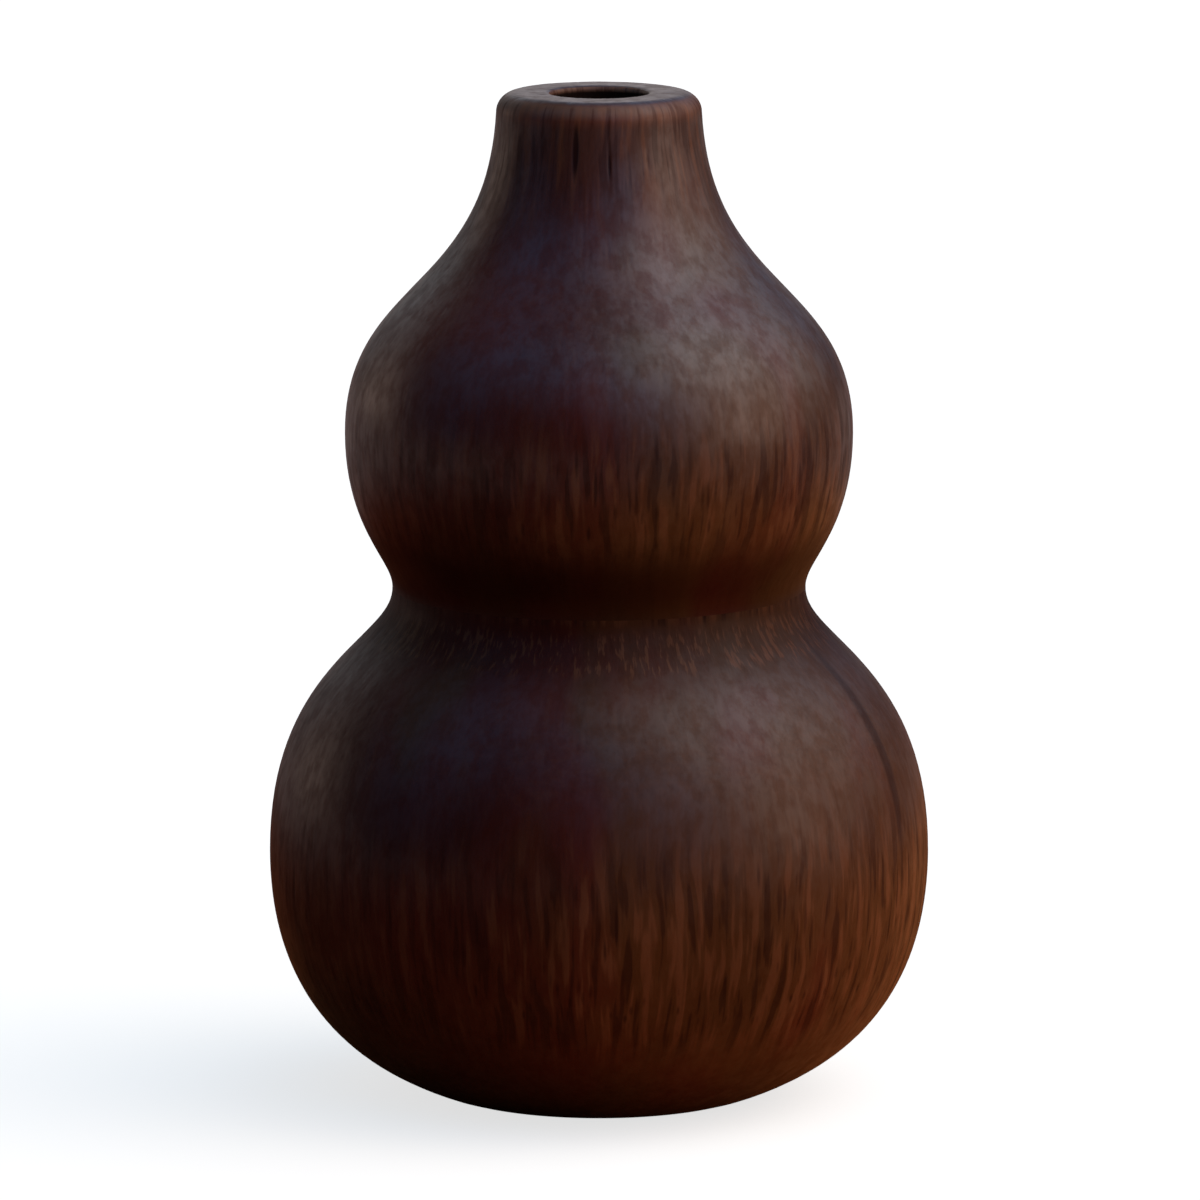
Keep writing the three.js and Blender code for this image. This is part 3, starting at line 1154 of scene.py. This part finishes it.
# The studio's soft lights: colour, azimuth, rise and width in degrees, and share of the colour's strength.
SOFT_LIGHTS = (
    ("window", 75, 28, 34, 1.0),
    ("window", 75, 4, 17, 1.02),
    ("window", 235, 4, 17, 0.58),
    ("window", 180, 10, 14, 0.34),
    ("daylight", 80, 53, 22, 1.0),
    ("daylight", 120, 28, 20, 0.34),
    ("daylight", 205, 28, 20, 0.21),
    ("daylight", 180, 10, 14, 0.13),
    ("daylight", 20, 66, 18, 0.13),
    ("sky", 0, 53, 22, 0.80),
    ("sky", 290, 53, 22, 0.70),
    ("sky", 285, 18, 24, 0.22),
    ("sky", 30, 28, 20, 0.95),
    ("sky", 160, 30, 20, 0.60),
    ("sky", 140, 60, 22, 1.20),
)


def seen_white(net):
    """1 for rays that show the white background: the camera's, and those through or off clear glass."""
    rays = net.add("ShaderNodeLightPath").outputs
    mirrored = net.times(rays["Is Glossy Ray"], rays["Is Singular Ray"])
    seen = net.most(rays["Is Camera Ray"], rays["Is Transmission Ray"])
    return net.most(seen, mirrored)


def paper_floor(stage):
    """A floor that the camera sees as pale paper, and that the vase sees as a warm table in a room."""
    material, net, shader, coordinates = new_material("paper_floor")
    seen = seen_white(net)
    place = coordinates["Object"]
    # The table lies in shade to the left.
    wood = net.mix(net.span(net.parts(place)[0], -0.28, 0.28), stage.table_shade, stage.table_sun)
    wood = net.mix(net.span(net.size(place), 0.35, 0.9), wood, stage.room)
    net.feed(shader["Base Color"], net.mix(seen, wood, stage.paper))
    net.feed(shader["Emission Color"], net.mix(seen, (0, 0, 0), (1, 1, 1)))
    shader["Emission Strength"].default_value = 0.72
    shader["Roughness"].default_value = 0.9
    shader["Specular IOR Level"].default_value = 0
    return material


def soft_light(net, direction, azimuth, rise, width, strength, tint):
    """A round soft glow in the world. Azimuth 0 is the camera's side; the width is in degrees."""
    a, e = math.radians(azimuth), math.radians(rise)
    towards = (math.sin(a) * math.cos(e), -math.cos(a) * math.cos(e), math.sin(e))
    angle = net.math("ARCCOSINE", net.dot(direction, towards))
    off = net.math("DIVIDE", angle, math.radians(width))
    level = net.math("EXPONENT", net.times(net.times(off, off), -1.0))
    return net.scaled(tint, net.times(level, strength))


def studio_world(stage):
    """The soft lights, seen by the vase alone. The background is white."""
    world = bpy.data.worlds.new("studio")
    bpy.context.scene.world = world
    world.use_nodes = True
    net = Net(world.node_tree)
    background = world.node_tree.nodes["Background"]
    direction = net.add("ShaderNodeTexCoord").outputs["Generated"]
    light = (0, 0, 0)
    for name, azimuth, rise, width, part in SOFT_LIGHTS:
        strength = getattr(stage, name + "_strength") * part
        tint = tuple(getattr(stage, name))
        glow = soft_light(net, direction, azimuth, rise, width, strength, tint)
        light = net.vector("ADD", light, glow)
    net.feed(background.inputs["Color"], net.mix(seen_white(net), light, (1, 1, 1)))
    background.inputs["Strength"].default_value = 1


def middle():
    """The middle of the vase."""
    return Vector((0, 0, (CAD_BOUNDS[0].z + CAD_BOUNDS[1].z) / 2))


class VASE_OT_stage(bpy.types.Operator):
    """Sets the pale floor, the soft light and the camera"""

    bl_idname = "vase.stage"
    bl_label = "Stage"

    def execute(self, context):
        stage = context.scene.vase_stage
        bpy.ops.object.select_all(action="DESELECT")
        bpy.ops.mesh.primitive_circle_add(vertices=96, radius=9, fill_type="NGON")
        floor = context.object
        floor.name = "floor"
        floor.data.materials.append(paper_floor(stage))
        studio_world(stage)

        data = bpy.data.cameras.new("camera")
        data.lens = stage.lens
        data.sensor_width = 36
        data.clip_end = 60
        camera = bpy.data.objects.new("camera", data)
        context.scene.collection.objects.link(camera)
        rise = stage.camera_rise
        away = Vector((0, -math.cos(rise), math.sin(rise)))
        # The vase stands a little above and left of the picture's centre.
        up = Vector((0, math.sin(rise), math.cos(rise)))
        aim = middle() - up * stage.aim_down + Vector((stage.aim_right, 0, 0))
        camera.location = aim + away * stage.camera_distance
        camera.rotation_euler = away.to_track_quat("Z", "Y").to_euler()
        context.scene.camera = camera
        context.scene.view_settings.view_transform = "Standard"
        return {"FINISHED"}


class VASE_PT_build(bpy.types.Panel):
    """The sizes and finishes, and a button for each piece"""

    bl_label = "Turned Vase"
    bl_space_type = "VIEW_3D"
    bl_region_type = "UI"
    bl_category = "Vase"

    def draw(self, context):
        for name, group in SETTINGS.items():
            box = self.layout.box()
            box.label(text=group.__doc__)
            for prop in group.__annotations__:
                box.prop(getattr(context.scene, name), prop)
        for step in STEPS:
            self.layout.operator(step.bl_idname)


STEPS = (
    VASE_OT_stage,
    VASE_OT_lower_bulb,
    VASE_OT_upper_bulb,
    VASE_OT_water_tube,
    VASE_OT_tube_ring,
    VASE_OT_base_felt,
)
CLASSES = (*SETTINGS.values(), *STEPS, VASE_PT_build)


def register():
    for cls in CLASSES:
        bpy.utils.register_class(cls)
    for name, group in SETTINGS.items():
        setattr(bpy.types.Scene, name, PointerProperty(type=group))


def unregister():
    for name in SETTINGS:
        delattr(bpy.types.Scene, name)
    for cls in reversed(CLASSES):
        bpy.utils.unregister_class(cls)


def main():
    register()
    for step in STEPS:
        area, name = step.bl_idname.split(".")
        getattr(getattr(bpy.ops, area), name)()
    bpy.ops.object.select_all(action="DESELECT")


if __name__ == "__main__":
    main()
